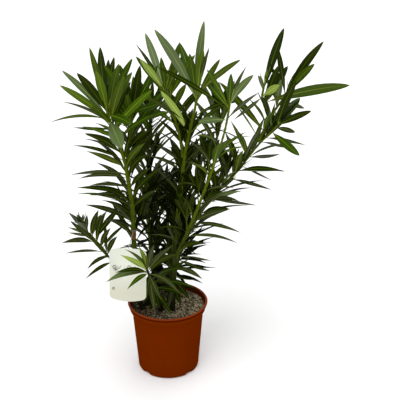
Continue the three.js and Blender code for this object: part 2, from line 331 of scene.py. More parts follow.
def compost_height(x, y):
    """Height of the uneven compost at a place; it sinks a little towards the wall."""
    out = hypot(x, y) / compost_radius
    lumps = 0
    for pace, slice_height, rise in compost_lumps:
        lumps += noise.noise(Vector((x * pace, y * pace, slice_height))) * rise
    return compost_top - settled + lumps - sunk_at_wall * out ** 4


# Painted shadow: the left side is darker, partly damp compost and partly the shade of the foliage over it.
dry_unshaded_share = 0.5
dry_unshaded_gain = 7.0  # more dry share for each metre to the right


def is_damp_or_shaded(x):
    """The compost is darker on the left, partly damp and partly painted shadow of the foliage, and dry on the
    right.
    """
    return dice.random() > dry_unshaded_share + dry_unshaded_gain * x


peat, wire = new_finish("peat_with_painted_shadow", srgb(92, 78, 60), 0.95)
fine = wire.clouds(420.0, 5.0)
patch = wire.clouds(55.0, 3.0)
# Painted shadow: darker towards the left, partly damp and partly the foliage's shade, and pale and dry on the
# right.
dry_and_unshaded = (wire.along(0) * 4.5 + patch * 0.5 + 0.12).rises(0.1, 0.7)
tone = dry_and_unshaded.between(srgb(60, 54, 34), srgb(160, 147, 118))
fine.rises(0.42, 0.58).between(srgb(24, 21, 12), tone).feed("Base Color")
(patch * 0.1 + 0.88).feed("Roughness")
fine.bump(0.8, 0.0015).feed("Normal")

ring_count = 72
compost_sides = 180
points = [(0, 0, compost_height(0, 0))]
faces = []
for i in range(1, ring_count + 1):
    ring = level_ring(compost_radius * i / ring_count, compost_top, compost_sides)
    points += [(x, y, compost_height(x, y)) for x, y, level in ring]
wall_gap = 0.001
below_top = [
    (neck_radius - wall - wall_gap, neck_height),
    (foot_radius - wall - wall_gap, foot_round + wall_gap),
    (foot_radius - foot_round - wall_gap, wall + 0.0003),
]
for radius, height in below_top:
    points += level_ring(radius, height, compost_sides)
for k in range(compost_sides):
    faces.append((0, 1 + k, 1 + (k + 1) % compost_sides))
for i in range(ring_count + len(below_top) - 1):
    for k in range(compost_sides):
        low = 1 + i * compost_sides
        high = low + compost_sides
        onward = (k + 1) % compost_sides
        faces.append((low + k, high + k, high + onward, low + onward))
faces.append(tuple(range(len(points) - compost_sides, len(points)))[::-1])
compost = make_mesh("compost_bed", points, faces, [peat], crease=80)
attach(compost, "root")
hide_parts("compost")


def grainy_finish(name, colour, roughness, scale, strength, depth, **plain):
    """A material of one plain colour with a fine grain to its surface."""
    finish, wire = new_finish(name, colour, roughness, **plain)
    wire.clouds(scale).bump(strength, depth).feed("Normal")
    return finish


crumb_colours = {
    "pale": srgb(188, 176, 146), "brown": srgb(100, 84, 54),
    "dark": srgb(30, 26, 15), "grey": srgb(150, 141, 116)}
crumb_tones = [
    grainy_finish("crumb_" + name, colour, 0.95, 600.0, 0.5, 0.0006)
    for name, colour in crumb_colours.items()]

golden = (1 + sqrt(5)) / 2
lump_corners = [Vector(p).normalized() for p in (
    (-1, golden, 0), (1, golden, 0), (-1, -golden, 0), (1, -golden, 0), (0, -1, golden), (0, 1, golden),
    (0, -1, -golden), (0, 1, -golden), (golden, 0, -1), (golden, 0, 1), (-golden, 0, -1), (-golden, 0, 1))]
lump_faces = [(0, 11, 5), (0, 5, 1), (0, 1, 7), (0, 7, 10), (0, 10, 11), (1, 5, 9), (5, 11, 4), (11, 10, 2),
              (10, 7, 6), (7, 1, 8), (3, 9, 4), (3, 4, 2), (3, 2, 6), (3, 6, 8), (3, 8, 9), (4, 9, 5),
              (2, 4, 11), (6, 2, 10), (8, 6, 7), (9, 8, 1)]
crumb_count = 3200
crumb_reach = 0.985 * compost_radius
smallest_crumb = 0.0006
crumb_spread = 0.0022
points = []
faces = []
picks = []
for i in range(crumb_count):
    out = crumb_reach * sqrt(dice.random())
    angle = tau * dice.random()
    size = smallest_crumb + crumb_spread * dice.random() ** 2.2
    x = (out - size) * cos(angle)
    y = (out - size) * sin(angle)
    centre = Vector((x, y, compost_height(x, y) + 0.35 * size))
    spin = tau * dice.random()
    axle = Vector((dice.random(), dice.random(), dice.random() + 0.1))
    turn = Matrix.Rotation(spin, 3, axle)
    stretch = Vector((1.0 + 1.0 * dice.random(), 0.75, 0.5))
    start = len(points)
    for corner in lump_corners:
        shaped = Vector(a * b for a, b in zip(corner, stretch)) * size * (0.6 + 0.7 * dice.random())
        points.append(centre + turn @ shaped)
    # Crumbs on the left are darker, partly damp and partly painted shadow.
    tone = dice.choice((1, 2, 2) if is_damp_or_shaded(x) else (0, 0, 1, 2, 3))
    for face in lump_faces:
        faces.append(tuple(start + c for c in face))
        picks.append(tone)
crumbs = make_mesh("compost_crumbs", points, faces, crumb_tones, picks, crease=30)
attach(crumbs, "root")


def skin_rings(faces, start, rings, sides):
    """Skins a tube whose rings of points follow one another from a start."""
    for i in range(rings - 1):
        for k in range(sides):
            low = start + i * sides
            onward = (k + 1) % sides
            faces.append((low + k, low + onward, low + sides + onward, low + sides + k))


def add_strand(points, faces, route, radius, sides=4):
    """A thin closed strand along a route, pointed at both ends."""
    start = len(points)
    last = len(route) - 1
    for i, place in enumerate(route):
        heading = (route[min(i + 1, last)] - route[max(i - 1, 0)]).normalized()
        across = heading.cross(Vector((0, 0, 1))).normalized()
        rise = across.cross(heading)
        thick = radius * (0.25 if i in (0, last) else 1.0)
        for k in range(sides):
            angle = tau * k / sides
            points.append(place + thick * (cos(angle) * across + sin(angle) * rise))
    skin_rings(faces, start, len(route), sides)
    faces.append(tuple(range(start, start + sides))[::-1])
    faces.append(tuple(range(start + last * sides, start + (last + 1) * sides)))


fibre_count = 1100
fibre_steps = 5
fibre_start = 0.9 * compost_radius
fibre_reach = 0.97 * compost_radius
fibre_lift = 0.0008
points = []
faces = []
picks = []
for i in range(fibre_count):
    out = fibre_start * sqrt(dice.random())
    angle = tau * dice.random()
    heading = tau * dice.random()
    length = dice.uniform(0.004, 0.014)
    bend = dice.uniform(-1.2, 1.2)
    x = out * cos(angle)
    y = out * sin(angle)
    route = []
    for step in range(fibre_steps + 1):
        if hypot(x, y) < fibre_reach:
            height = compost_height(x, y) + fibre_lift + 0.001 * dice.random()
            route.append(Vector((x, y, height)))
        x += length / fibre_steps * cos(heading)
        y += length / fibre_steps * sin(heading)
        heading += bend / fibre_steps
    if len(route) > 2:
        add_strand(points, faces, route, dice.uniform(0.0004, 0.0010))
        # Fibres on the left are darker, partly damp and partly painted shadow.
        tone = dice.choice((1, 2, 2) if is_damp_or_shaded(x) else (0, 0, 1, 2))
        picks += [tone] * (len(faces) - len(picks))
fibre_colours = {"straw": srgb(196, 182, 148), "tan": srgb(128, 108, 72), "brown": srgb(44, 36, 22)}
fibre_tones = [
    grainy_finish("fibre_" + name, colour, 0.9, 500.0, 0.4, 0.0004)
    for name, colour in fibre_colours.items()]
fibres = make_mesh("compost_fibres", points, faces, fibre_tones, picks, crease=60)
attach(fibres, "root")


# ---- Stems ----
# The woody base of each shoot is dark grey-brown and the younger wood above it is yellow-green.
# Every whorl of three leaves leaves a slight swelling on the bark.

shaded_below = 0.42
hidden_tip = 0.2
tip_taper = 0.02


def outward(angle):
    """A level step of one metre at an angle in radians."""
    return Vector((cos(angle), sin(angle), 0))


class Shoot:
    """A stem, bough or twig as a smooth line that climbs through the middles of its rings."""

    def __init__(self, middles, radii):
        self.middles = middles
        self.radii = radii
        self.foot = middles[0].z
        self.tip = middles[-1].z
        self.shaded = self.tip < shaded_below
        self.forks = False

    def left_above(self, height):
        """Length of shoot above a height; a stem that ends in a fork has no tip of its own."""
        return self.tip - height + (hidden_tip if self.forks else 0)

    def span(self, height):
        """The ring below a height, and the share of the way to the next one."""
        heights = [middle.z for middle in self.middles]
        ring = sum(1 for h in heights[1:-1] if h <= height)
        share = (height - heights[ring]) / (heights[ring + 1] - heights[ring])
        return ring, share

    def lean(self, ring):
        """Sideways travel for each metre of climb at a ring."""
        last = len(self.middles) - 1
        step = self.middles[min(ring + 1, last)] - self.middles[max(ring - 1, 0)]
        return step / step.z

    def at(self, height):
        if height > self.tip:
            return self.middles[-1] + self.lean(len(self.middles) - 1) * (height - self.tip)
        ring, t = self.span(height)
        low, high = self.middles[ring], self.middles[ring + 1]
        climb = high.z - low.z
        return (
            (2 * t ** 3 - 3 * t ** 2 + 1) * low
            + (t ** 3 - 2 * t ** 2 + t) * climb * self.lean(ring)
            + (3 * t ** 2 - 2 * t ** 3) * high
            + (t ** 3 - t ** 2) * climb * self.lean(ring + 1))

    def radius(self, height):
        if height > self.tip:
            return self.radii[-1] * max(0.0, 1 - (height - self.tip) / tip_taper)
        ring, t = self.span(height)
        return self.radii[ring] + (self.radii[ring + 1] - self.radii[ring]) * t

    def heading(self, height):
        return (self.at(height + 0.002) - self.at(height - 0.002)).normalized()


# Stems that are slimmer than their CAD node
slender = {"front_stem": 0.85, "right_stem": 0.9}


def shoot_from_node(name):
    """Reads a limb's line and taper from the level rings of its CAD node."""
    rings = {}
    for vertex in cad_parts[name].data.vertices:
        place = tuple(round(c, 5) for c in vertex.co)
        rings.setdefault(round(place[2], 3), set()).add(place)
    middles = []
    radii = []
    for height in sorted(rings):
        ring = [Vector(place) for place in rings[height]]
        if len(ring) >= 6:
            middle = sum(ring, Vector()) / len(ring)
            middles.append(middle)
            radii.append(slender.get(name, 1.0) * max((place - middle).length for place in ring))
    return Shoot(middles, radii)


# Each limb, with the height of the lowest leaves left on it and the turn of their whorl in degrees
habits = {
    "left_stem": (0.330, 10), "left_front_bough": (0.530, 40), "left_back_bough": (0.535, 75),
    "middle_stem": (0.216, 20), "middle_side_bough": (0.560, 50), "front_stem": (0.214, 35),
    "right_stem": (0.236, 0), "right_top_bough": (0.580, 30), "right_inner_bough": (0.630, 15),
    "low_left_shoot": (0.275, 25), "low_front_shoot": (0.205, 10), "back_left_stem": (0.225, 5),
    "back_right_stem": (0.225, 45), "back_low_shoot": (0.225, 60)}
shoots = {name: shoot_from_node(name) for name in habits}
shoots["left_stem"].forks = True
whorl_gap = 0.0185
closest_gap = 0.007
tip_crowding = 0.25
fork_crowding = 0.04
last_whorl = 0.002


def whorl_heights(shoot, lowest):
    """Heights of a shoot's whorls of leaves, which crowd together towards its tip."""
    heights = []
    height = lowest
    while height < shoot.tip + last_whorl:
        heights.append(height)
        left = max(fork_crowding if shoot.forks else 0.0, shoot.tip - height)
        climb = shoot.heading(height).z
        height += max(closest_gap, min(whorl_gap, tip_crowding * left)) * climb
    return heights


bark, wire = new_finish("young_and_old_bark", srgb(74, 82, 32), 0.6, Specular_IOR_Level=0.05)
height = wire.along(2)
streaks = wire.clouds(220.0, 4.0, (1, 1, 0.12))
mottle = wire.clouds(90.0, 3.0)
aged = (height + mottle * 0.16 - 0.08).rises(0.24, 0.44)
old_tone = streaks.between(srgb(17, 17, 5), srgb(42, 42, 15))
young_tone = streaks.between(srgb(58, 72, 2), srgb(96, 114, 10))
aged.between(old_tone, young_tone).feed("Base Color")
(streaks * 0.3 + 0.45).feed("Roughness")
streaks.bump(0.5, 0.0012).feed("Normal")

bark_sides = 14
bark_step = 0.0035
bark_buried = 0.002
crown_of_tip = 0.012
whorl_swell = 0.0007
whorl_reach = 0.003
rough_reach = 0.2
young_ridge = 0.05
old_ridge = 0.14


def bark_radius(shoot, height, angle, whorls):
    """Bark radius at one place: taper, a swelling at each whorl, and a rough skin low down."""
    radius = shoot.radius(height)
    for whorl in whorls:
        radius += whorl_swell * exp(-((height - whorl) / whorl_reach) ** 2)
    rough = max(0.0, 1 - (height - compost_top) / rough_reach)
    ridges = noise.noise(Vector((cos(angle) * 1.6, sin(angle) * 1.6, height * 60)))
    return radius * (1 + (young_ridge + old_ridge * rough) * ridges)


def add_bark(points, faces, shoot, whorls, sides=bark_sides):
    """Adds the closed skin of one shoot, from a flat cut at its foot to a rounded tip."""
    first = len(points)
    low = shoot.foot - bark_buried
    top = shoot.tip + crown_of_tip
    steps = int((top - low) / bark_step)
    for i in range(steps):
        height = low + (top - low) * i / steps
        middle = shoot.at(height)
        if height <= shoot.foot:
            middle = shoot.middles[0].xy.to_3d() + Vector((0, 0, height))
        for k in range(sides):
            angle = tau * k / sides
            radius = bark_radius(shoot, max(height, shoot.foot), angle, whorls)
            points.append(middle + radius * outward(angle))
    points.append(shoot.at(top))
    faces.append(tuple(range(first, first + sides))[::-1])
    skin_rings(faces, first, steps, sides)
    last = first + (steps - 1) * sides
    for k in range(sides):
        faces.append((last + k, last + (k + 1) % sides, len(points) - 1))


for name in habits:
    points = []
    faces = []
    add_bark(points, faces, shoots[name], whorl_heights(shoots[name], habits[name][0]))
    piece = make_mesh(name + "_bark", points, faces, [bark], crease=70)
    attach(piece, "root")
    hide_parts(name)


# ---- Scar on the left stem ----
# Bark rubbed through where a leaf tore away, dried to an orange-brown papery skin.
# It wraps the front of the stem and lifts a little along its edges.


def add_sheet(points, faces, outside, inside):
    """Two matching grids of points, skinned on both sides and closed round the border."""
    start = len(points)
    rows = len(outside)
    columns = len(outside[0])
    for grid in (outside, inside):
        for row in grid:
            points.extend(row)
    back = rows * columns
    for i in range(rows - 1):
        for k in range(columns - 1):
            corners = [i * columns + k, i * columns + k + 1, (i + 1) * columns + k + 1, (i + 1) * columns + k]
            faces.append(tuple(start + c for c in corners))
            faces.append(tuple(start + back + c for c in reversed(corners)))
    border = [k for k in range(columns)]
    border += [i * columns + columns - 1 for i in range(1, rows)]
    border += [(rows - 1) * columns + k for k in range(columns - 2, -1, -1)]
    border += [i * columns for i in range(rows - 2, 0, -1)]
    for a, b in zip(border, border[1:] + border[:1]):
        faces.append((start + b, start + a, start + back + a, start + back + b))


scar_low = 0.342
scar_high = 0.368
scar_middle = 262  # degrees
scar_reach = 72
scar_ragged = 12
scar_curl = 0.0009
scar_wrinkle = 0.0004
scar_outside = 0.0011
scar_inside = 0.0004
scar_rows = 18
scar_columns = 16


def scar_grid(lift):
    """Points of the scar's skin; it narrows to ragged ends at its top and foot."""
    stem = shoots["left_stem"]
    grid = []
    for i in range(scar_rows + 1):
        share = i / scar_rows
        height = scar_low + (scar_high - scar_low) * share
        reach = scar_reach * (0.25 + 0.75 * sin(pi * share))
        reach += scar_ragged * noise.noise(Vector((0, 0, share * 9)))
        row = []
        for k in range(scar_columns + 1):
            across = 2 * k / scar_columns - 1
            angle = radians(scar_middle + reach * across)
            wrinkle = scar_wrinkle * noise.noise(Vector((across * 3, share * 6, 2)))
            curl = scar_curl * abs(across) ** 4 + wrinkle
            radius = bark_radius(stem, height, angle, []) + lift + curl
            row.append(stem.at(height) + radius * outward(angle))
        grid.append(row)
    return grid


papery, wire = new_finish("papery_bark", srgb(112, 62, 28), 0.8, Specular_IOR_Level=0.1)
torn = wire.clouds(300.0, 4.0, (1, 1, 0.4))
torn.between(srgb(60, 38, 18), srgb(140, 94, 58)).feed("Base Color")
(torn * 0.2 + 0.7).feed("Roughness")
torn.bump(0.7, 0.0008).feed("Normal")
points = []
faces = []
add_sheet(points, faces, scar_grid(scar_outside), scar_grid(scar_inside))
scar = make_mesh("stem_scar", points, faces, [papery], crease=50)
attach(scar, "root")


# ---- Side twigs ----
# Short green twigs that break from the shaded sides of the stems and fill the crown behind.
# Each springs from a whorl, turns upward and carries small whorls of its own.

twig_every = 4  # whorls
twig_radius = 0.0019
twig_taper = 0.12
twig_steps = 4
twig_rise = 30  # degrees above level at its foot
twig_curve = 30
twig_clear = 0.11


def turn_between(first, second):
    """The smaller turn between two compass directions, in degrees."""
    return abs((first - second + 180) % 360 - 180)


def twig_from(shoot, height, compass, length):
    """A short shoot that starts inside its stem and curves up as it grows."""
    out = outward(radians(compass))
    place = shoot.at(height)
    middles = [place]
    for i in range(twig_steps):
        climb = radians(twig_rise + twig_curve * i / (twig_steps - 1))
        place = place + (out * cos(climb) + Vector((0, 0, sin(climb)))) * length / twig_steps
        middles.append(place)
    twig = Shoot(middles, [twig_radius * (1 - twig_taper * i) for i in range(twig_steps + 1)])
    twig.shaded = True
    return twig


def twigs_on(name):
    """Twigs of one stem: every few whorls, on the side that faces the back."""
    shoot = shoots[name]
    lowest, turn = habits[name]
    found = []
    for index, height in enumerate(whorl_heights(shoot, lowest)):
        if index % twig_every == 1 and shoot.tip - height > twig_clear:
            sides = [turn + index * 60 + k * 120 for k in range(3)]
            compass = min(sides, key=lambda side: turn_between(side, 90))
            found.append(twig_from(shoot, height, compass, dice.uniform(0.035, 0.060)))
    return found


twigs = {name: twigs_on(name) for name in (
    "left_stem", "middle_stem", "front_stem", "right_stem", "back_left_stem", "back_right_stem",
    "back_low_shoot")}
points = []
faces = []
for found in twigs.values():
    for twig in found:
        add_bark(points, faces, twig, [], sides=8)
side_twigs = make_mesh("side_twigs", points, faces, [bark], crease=70)
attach(side_twigs, "root")


# ---- Leaves ----
# Leathery lance-shaped leaves in whorls of three, each on a short stalk with a pale midrib.
# Broad young ones stand up round the shoot tips, and narrow older ones arch out lower down.

# Upper face, underside and midrib of each tone of leaf. The darkest tone is painted shade inside the crown,
# the grey tone with gloss is a painted sheen, and the lime tone is painted light shining through a leaf.
leaf_tones = {
    "lime": (srgb(160, 190, 56), srgb(150, 174, 74), srgb(200, 218, 110)),
    "fresh": (srgb(84, 114, 4), srgb(98, 120, 34), srgb(146, 166, 48)),
    "bright": (srgb(64, 90, 0), srgb(80, 102, 18), srgb(124, 146, 26)),
    "green": (srgb(46, 70, 0), srgb(60, 80, 12), srgb(104, 124, 18)),
    "olive": (srgb(52, 71, 0), srgb(66, 82, 16), srgb(108, 124, 22)),
    "silver": (srgb(84, 102, 54), srgb(92, 108, 62), srgb(134, 150, 84)),
    "dull": (srgb(48, 56, 24), srgb(56, 64, 32), srgb(92, 102, 44)),
    "dark": (srgb(28, 41, 0), srgb(37, 48, 5), srgb(76, 92, 8)),
    "deep": (srgb(8, 13, 0), srgb(13, 18, 1), srgb(32, 42, 2)),
}
leaf_gloss = {
    "lime": 0.15, "fresh": 0.12, "bright": 0.1, "green": 0.07, "olive": 0.07, "silver": 0.2, "dull": 0.08,
    "dark": 0.03, "deep": 0.01}
tone_order = list(leaf_tones)
leaf_finishes = []
for name, colours in leaf_tones.items():
    for part, colour in zip(("blade", "underside", "midrib"), colours):
        finish, wire = new_finish("_".join((name, part)), colour, 0.42, Specular_IOR_Level=leaf_gloss[name])
        skin = wire.clouds(900.0, 3.0)
        (skin * 0.2 + 0.3).feed("Roughness")
        skin.bump(0.15, 0.0003).feed("Normal")
        leaf_finishes.append(finish)

leaf_rows = [0.0, 0.045, 0.09, 0.15, 0.23, 0.32, 0.42, 0.52, 0.62, 0.72, 0.81, 0.89, 0.95, 1.0]
stalk_share = 0.055
stalk_half = 0.0012
blade_thickness = 0.0005
blade_cup = 0.35
rib_depth = 0.0009
rib_sunk = 0.0002
rib_half = 0.0012
rib_least = 0.00022
slim_fold = 32  # degrees
broad_fold = 20


def half_width(share, width, slim):
    """Half the blade's width at a share of its length: a broad lance, or one with a long fine tip."""
    if share < stalk_share:
        return stalk_half
    along = (share - stalk_share) / (1 - stalk_share)
    if slim:
        form = sin(pi * along ** 0.8) ** 1.05
    else:
        form = sin(pi * along ** 1.2) ** 0.68
    return max(stalk_half * (1 - along), width / 2 * form)


class LeafSpray:
    """Leaves joined in one mesh, each a thin closed blade with its own tone."""

    def __init__(self):
        self.points = []
        self.faces = []
        self.picks = []

    def add(self, base, compass, rise, length, width, tone, bend=8, sweep=0, roll=0, slim=False):
        """Angles are in degrees: compass from +X towards +Y, rise above level, and the rest in the leaf."""
        start = len(self.points)
        pose = (compass, rise, bend, sweep)
        half_arc = radians(abs(bend) + 1)
        stretch = 1 / max(0.8, sin(half_arc) / half_arc)
        places = [Vector(base)]
        for low, high in zip(leaf_rows, leaf_rows[1:]):
            forward = self.direction(*pose, (low + high) / 2)
            places.append(places[-1] + forward * (high - low) * length * stretch)
        for place, share in zip(places[1:-1], leaf_rows[1:-1]):
            self.add_row(place, share, pose, half_width(share, width, slim), roll, slim)
        self.points += [places[0], places[-1]]
        self.add_faces(start, len(leaf_rows) - 2, tone_order.index(tone) * 3)

    @staticmethod
    def direction(compass, rise, bend, sweep, share):
        """Which way the midrib runs at a share of the leaf's length."""
        climb = radians(rise + bend * (1 - 2 * share))
        turn = radians(compass + sweep * (2 * share - 1))
        return Vector((cos(climb) * cos(turn), cos(climb) * sin(turn), sin(climb)))

    def add_row(self, place, share, pose, half, roll, slim):
        """Ten points across the leaf: six on the upper face and four on the underside."""
        compass, _, _, sweep = pose
        forward = self.direction(*pose, share)
        turn = radians(compass + sweep * (2 * share - 1))
        spin = Matrix.Rotation(radians(roll) * min(1.0, 0.35 + 2 * share), 3, forward)
        left = spin @ Vector((-sin(turn), cos(turn), 0))
        up = forward.cross(left)
        rib = min(0.45 * half, rib_half * (1 - share) ** 1.5 + rib_least)
        fold = slim_fold if slim else broad_fold
        slope = tan(radians(fold * (1 - 0.6 * share)))
        across = [-half, -(half + rib) / 2, -rib, rib, (half + rib) / 2, half]
        lifts = [slope * abs(x) - blade_cup * x * x / max(half, 0.001) for x in across]
        sunk = [0.0, 0.0, rib_sunk, rib_sunk, 0.0, 0.0]
        rib_foot = rib_depth * (1 - 0.7 * share)
        depths = [blade_thickness, rib_foot, rib_foot, blade_thickness]
        for i, depth in zip((0, 1, 2, 3, 4, 5, 1, 2, 3, 4), sunk + depths):
            self.points.append(place + left * across[i] + up * (lifts[i] - depth))

    def add_faces(self, start, rows, finish):
        """Skins the rows round from one margin to the other, and closes the two ends."""
        around = [0, 1, 2, 3, 4, 5, 9, 8, 7, 6]
        parts = [0, 0, 2, 0, 0, 1, 1, 2, 1, 1]  # blade, underside or midrib
        count = len(around)
        base = start + rows * count
        tip = base + 1
        for k in range(count):
            a = around[k]
            b = around[(k + 1) % count]
            pick = finish + parts[k]
            self.faces.append((base, start + b, start + a))
            self.picks.append(finish + 2)
            for row in range(rows - 1):
                low = start + row * count
                self.faces.append((low + a, low + b, low + count + b, low + count + a))
                self.picks.append(finish + 2 if row == 0 else pick)
            last = start + (rows - 1) * count
            self.faces.append((last + a, last + b, tip))
            self.picks.append(pick)


# Leaves that stand out from the crown: height, compass, rise, length, width and tone.
# Height, length and width are in millimetres, and the two angles in degrees.
# Of their tones, the lime one is painted light shining through a leaf, the grey one with gloss a painted
# sheen, and the darkest painted shade.
standing_leaves = {
    "left_front_bough": [
        (648, 213, 77, 150, 14, "olive"), (640, 313, 71, 130, 18, "green"),
        (626, 312, 64, 125, 18, "olive"), (635, 245, 68, 120, 15, "green"), (649, 231, 52, 130, 19, "dark"),
        (657, 101, 49, 150, 18, "dark"), (657, 91, 41, 130, 15, "dark"), (657, 84, 42, 135, 15, "dark"),
        (636, 175, 47, 140, 14, "silver"), (631, 219, 40, 150, 15, "bright"),
        (624, 156, 16, 124, 9, "dull"), (631, 219, 9, 145, 10, "olive"), (629, 285, -6, 140, 29, "silver"),
        (644, 304, 3, 100, 18, "green"), (609, 148, -7, 111, 10, "dark"),
        (582, 233, 29, 120, 10.8, "green"), (571, 136, 0, 120, 13, "dark"), (546, 223, 35, 120, 13, "dark"),
        (645, 258, 60, 130, 18, "bright"), (640, 335, 60, 120, 17, "green"),
        (652, 20, 62, 125, 16, "green"), (622, 255, 35, 120, 16, "green")],
    "left_back_bough": [
        (621, 291, 62, 150, 18, "dark"), (631, 311, 23, 100, 18, "green"), (607, 318, 24, 120, 14, "green"),
        (550, 304, 37, 120, 17, "dark"), (628, 250, 66, 135, 17, "green"), (630, 20, 60, 120, 16, "green"),
        (624, 190, 64, 130, 17, "bright")],
    "left_stem": [
        (511, 224, 32, 125, 14, "olive"), (497, 190, 3, 125, 12, "dull"), (488, 216, 12, 125, 11, "dull"),
        (466, 230, 19, 125, 12, "dull"), (452, 202, 15, 125, 13, "dark"), (450, 228, 16, 125, 11, "dull"),
        (398, 234, 36, 125, 14, "dark"), (388, 206, 28, 125, 14, "dull"), (384, 243, 43, 125, 13, "dark"),
        (366, 236, 29, 125, 15, "dark"), (345, 239, 40, 125, 14, "dark"), (425, 226, 33, 125, 14, "dark"),
        (516, 303, 42, 120, 15, "olive"), (496, 307, 39, 120, 14, "dark"), (465, 305, 40, 120, 14, "dark"),
        (443, 330, 46, 120, 14, "dark"), (420, 312, 38, 120, 13, "dark"), (375, 319, 32, 120, 14, "deep")],
    "middle_side_bough": [
        (648, 304, 73, 150, 17, "olive"), (668, 305, 56, 120, 14, "olive"), (644, 98, 29, 130, 15, "green"),
        (677, 116, 46, 150, 17, "silver"), (676, 227, 49, 110, 14, "lime"),
        (670, 262, 62, 105, 13, "green"), (672, 126, 36, 150, 10, "dark"), (660, 200, 55, 120, 15, "green"),
        (655, 350, 60, 120, 16, "bright")],
    "middle_stem": [
        (582, 215, 57, 132, 15, "lime"), (662, 225, 55, 208, 20, "silver"),
        (658, 297, 79, 186, 17, "silver"), (675, 280, 60, 131, 17, "bright"), (690, 78, 29, 131, 9, "dull"),
        (674, 327, 40, 140, 13, "olive"), (666, 111, 42, 150, 18, "green"),
        (660, 250, 70, 120, 17, "green"), (680, 20, 34, 85, 12, "green"), (668, 345, 60, 100, 13, "green"),
        (685, 285, 50, 140, 9, "dull"), (512, 61, 13, 121, 12, "dark"), (449, 277, 44, 110, 12, "dark"),
        (401, 244, 44, 110, 12, "deep"), (426, 237, 40, 110, 12, "deep"), (612, 120, 19, 130, 14, "dark")],
    "front_stem": [
        (638, 236, 12, 111, 14, "silver"), (640, 57, 11, 141, 10, "dull"),
        (671, 297, 42, 126, 15, "silver"), (659, 198, 34, 185, 11, "dark"),
        (662, 119, 20, 110, 13, "green"), (664, 200, 60, 100, 11, "green"), (668, 20, 66, 90, 10, "dull"),
        (534, 277, 43, 130, 14, "green"), (548, 73, 5, 130, 12, "olive"), (401, 317, 30, 126, 17, "dull"),
        (399, 322, 6, 135, 11, "dull"), (362, 325, 9, 141, 9, "dull"), (322, 309, 29, 116, 18, "dark"),
        (308, 40, -23, 110, 8, "dull"), (300, 39, -32, 116, 10, "dark"), (279, 304, 9, 110, 13, "dull"),
        (251, 59, -29, 86, 9, "dark"), (253, 67, -26, 70, 9, "dark"), (246, 296, -8, 85, 13, "dark"),
        (236, 262, -18, 75, 12, "dull"), (228, 284, -14, 70, 12, "dark")],
    "right_inner_bough": [
        (677, 61, 50, 160, 19, "dark"), (644, 59, 30, 131, 19, "dark"), (650, 353, 14, 191, 24, "olive"),
        (665, 293, 31, 88, 16, "lime"), (664, 232, -14, 110, 9, "dull"), (608, 251, 48, 96, 11, "dark"),
        (678, 93, 6, 100, 10, "dull"), (655, 65, 13, 110, 16, "green"), (648, 300, 62, 112, 16, "dark")],
    "right_top_bough": [
        (659, 319, 56, 165, 18, "dark"), (667, 302, 44, 120, 16, "green"), (660, 100, 50, 120, 13, "dark"),
        (641, 50, -17, 110, 11, "dull")],
    "right_stem": [
        (577, 186, 49, 165, 16, "olive"), (599, 306, 64, 130, 18, "dark"), (599, 58, 18, 121, 20, "green"),
        (599, 311, 30, 115, 15, "dark"), (596, 297, 8, 80, 12, "dull"), (586, 298, -11, 115, 18, "green"),
        (570, 39, -19, 141, 10, "dull"), (560, 47, -21, 121, 10, "dull"), (523, 48, -11, 126, 11, "dull"),
        (489, 27, -9, 130, 10, "silver"), (501, 36, -31, 110, 9, "dull"), (470, 28, -23, 126, 10, "dull"),
        (490, 325, 11, 125, 14, "dark"), (483, 281, 48, 110, 13, "olive"), (449, 86, 17, 131, 14, "dark"),
        (435, 300, 39, 110, 12, "dark"), (419, 27, -17, 131, 9, "dull"), (406, 316, 31, 125, 17, "silver"),
        (414, 307, 19, 115, 11, "dull"), (380, 310, 25, 120, 15, "dark")],
    "low_left_shoot": [
        (382, 249, 46, 111, 14, "dull"), (377, 252, 39, 100, 13, "dull"), (383, 112, 2, 96, 10, "dark"),
        (384, 97, 1, 91, 10, "dark"), (371, 298, 56, 106, 13, "dark"), (367, 84, 6, 110, 11, "dark"),
        (350, 303, 60, 121, 13, "dark"), (339, 299, 50, 101, 12, "dark"), (320, 305, 53, 85, 12, "dark"),
        (357, 240, 21, 120, 13, "dull"), (331, 232, 19, 120, 8, "dull"), (373, 127, -9, 105, 7, "dull"),
        (370, 129, -14, 105, 7, "dull"), (316, 247, 8, 96, 10, "dark"), (303, 241, 2, 105, 9, "dark"),
        (315, 253, 25, 70, 9, "dark")],
    "low_front_shoot": [
        (295, 224, 9, 120, 15, "silver"), (292, 241, 0, 86, 11, "green"), (296, 227, 20, 101, 11, "dark"),
        (302, 218, 41, 92, 15, "lime"), (302, 218, 51, 90, 12, "green"), (302, 247, 64, 86, 11, "fresh"),
        (302, 294, 62, 96, 13, "dull"), (300, 325, 50, 110, 16, "dull"), (293, 325, 38, 120, 17, "dark"),
        (290, 305, 2, 126, 12, "dull"), (286, 288, -6, 101, 12, "dull"), (284, 278, -13, 120, 12, "dull"),
        (285, 107, -62, 111, 12, "dark"), (250, 300, -20, 95, 12, "dark"), (262, 335, 5, 105, 13, "dark"),
        (270, 330, 30, 110, 16, "dark"), (240, 320, 10, 90, 15, "dark"), (255, 350, 40, 110, 15, "dark"),
        (230, 280, -5, 70, 12, "dark")],
}

